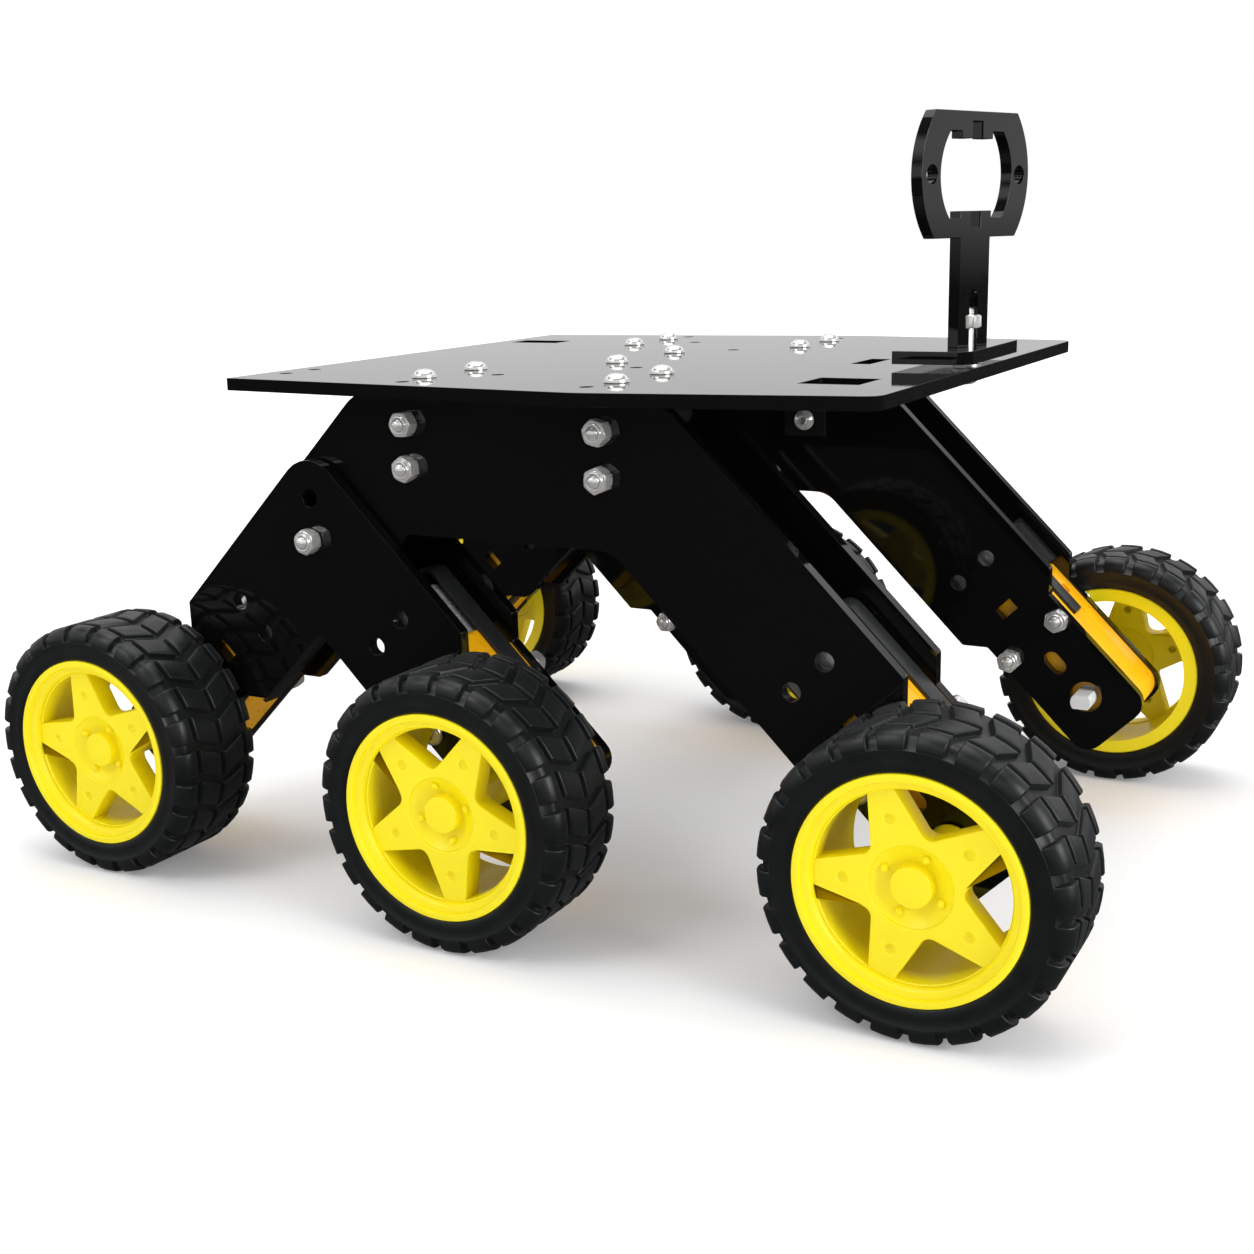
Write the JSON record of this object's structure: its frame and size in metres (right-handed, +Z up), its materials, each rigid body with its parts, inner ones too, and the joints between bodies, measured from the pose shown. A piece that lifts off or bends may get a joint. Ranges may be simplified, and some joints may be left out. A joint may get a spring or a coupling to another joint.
{
  "type": "rover chassis",
  "caption": "Wheeled rover chassis with rocker arms, pivoting bogies, a flat deck and a turning sensor mast.",
  "frame": {"origin": "on the ground under the axle of the middle wheels, midway between left and right", "axes": "+X forward, +Y to the rover's left, +Z up"},
  "size_m": [0.279, 0.2104, 0.182],
  "materials": {
    "black_acrylic": "polished cast acrylic sheet",
    "tyre_rubber": "matt moulded rubber",
    "yellow_rim": "satin moulded plastic",
    "amber_gearbox": "satin moulded plastic",
    "motor_steel": "plated drawn steel",
    "black_strap": "matt moulded plastic",
    "nickel_steel": "bright nickel plate",
    "bracket_steel": "black oxide",
    "white_nylon": "natural nylon"
  },
  "bodies": {
    "chassis": {"deck_plate": "black_acrylic", "deck_screws": "nickel_steel", "deck_nuts": "nickel_steel", "deck_brackets": "bracket_steel", "right_rocker_outer_plate": "black_acrylic", "right_rocker_inner_plate": "black_acrylic", "left_rocker_outer_plate": "black_acrylic", "left_rocker_inner_plate": "black_acrylic", "rocker_bolts": "nickel_steel", "rocker_nuts": "nickel_steel", "rocker_spacers": "white_nylon", "pivot_bolts": "nickel_steel", "pivot_spacers": "white_nylon", "pivot_nuts": "nickel_steel", "right_front_gearbox": "amber_gearbox", "right_front_motor": "motor_steel", "left_front_gearbox": "amber_gearbox", "left_front_motor": "motor_steel", "front_motor_straps": "black_strap", "front_motor_bolts": "nickel_steel", "mast_base": "black_acrylic", "mast_screw": "nickel_steel"},
    "sensor_mast": {"mast_plate": "black_acrylic", "mast_nut": "nickel_steel"},
    "right_bogie": {"right_bogie_outer_plate": "black_acrylic", "right_bogie_inner_plate": "black_acrylic", "right_mid_gearbox": "amber_gearbox", "right_mid_motor": "motor_steel", "right_rear_gearbox": "amber_gearbox", "right_rear_motor": "motor_steel", "right_bogie_motor_straps": "black_strap", "right_bogie_motor_bolts": "nickel_steel"},
    "left_bogie": {"left_bogie_outer_plate": "black_acrylic", "left_bogie_inner_plate": "black_acrylic", "left_mid_gearbox": "amber_gearbox", "left_mid_motor": "motor_steel", "left_rear_gearbox": "amber_gearbox", "left_rear_motor": "motor_steel", "left_bogie_motor_straps": "black_strap", "left_bogie_motor_bolts": "nickel_steel"},
    "right_front_wheel": {"right_front_tyre": "tyre_rubber", "right_front_rim": "yellow_rim", "right_front_shaft": "white_nylon"},
    "right_mid_wheel": {"right_mid_tyre": "tyre_rubber", "right_mid_rim": "yellow_rim", "right_mid_shaft": "white_nylon"},
    "right_rear_wheel": {"right_rear_tyre": "tyre_rubber", "right_rear_rim": "yellow_rim", "right_rear_shaft": "white_nylon"},
    "left_front_wheel": {"left_front_tyre": "tyre_rubber", "left_front_rim": "yellow_rim", "left_front_shaft": "white_nylon"},
    "left_mid_wheel": {"left_mid_tyre": "tyre_rubber", "left_mid_rim": "yellow_rim", "left_mid_shaft": "white_nylon"},
    "left_rear_wheel": {"left_rear_tyre": "tyre_rubber", "left_rear_rim": "yellow_rim", "left_rear_shaft": "white_nylon"}
  },
  "joints": [
    {"name": "right_bogie_pivot", "type": "hinge", "parent": "chassis", "child": "right_bogie", "pos_m": [-0.0535, -0.0631, 0.086], "axis": [0, 1, 0], "range_deg": [-14, 35]},
    {"name": "left_bogie_pivot", "type": "hinge", "parent": "chassis", "child": "left_bogie", "pos_m": [-0.0535, 0.0631, 0.086], "axis": [0, 1, 0], "range_deg": [-14, 35]},
    {"name": "right_front_wheel_spin", "type": "hinge", "parent": "chassis", "child": "right_front_wheel", "pos_m": [0.107, -0.0865, 0.0325], "axis": [0, 1, 0], "continuous": true},
    {"name": "right_mid_wheel_spin", "type": "hinge", "parent": "right_bogie", "child": "right_mid_wheel", "pos_m": [0, -0.092, 0.0325], "axis": [0, 1, 0], "continuous": true},
    {"name": "right_rear_wheel_spin", "type": "hinge", "parent": "right_bogie", "child": "right_rear_wheel", "pos_m": [-0.107, -0.09, 0.0325], "axis": [0, 1, 0], "continuous": true},
    {"name": "left_front_wheel_spin", "type": "hinge", "parent": "chassis", "child": "left_front_wheel", "pos_m": [0.107, 0.0865, 0.0325], "axis": [0, 1, 0], "continuous": true},
    {"name": "left_mid_wheel_spin", "type": "hinge", "parent": "left_bogie", "child": "left_mid_wheel", "pos_m": [0, 0.092, 0.0325], "axis": [0, 1, 0], "continuous": true},
    {"name": "left_rear_wheel_spin", "type": "hinge", "parent": "left_bogie", "child": "left_rear_wheel", "pos_m": [-0.107, 0.09, 0.0325], "axis": [0, 1, 0], "continuous": true},
    {"name": "mast_swivel", "type": "hinge", "parent": "chassis", "child": "sensor_mast", "pos_m": [0.086, 0, 0.129], "axis": [0, 0, 1], "range_deg": [-73, 107]}
  ]
}
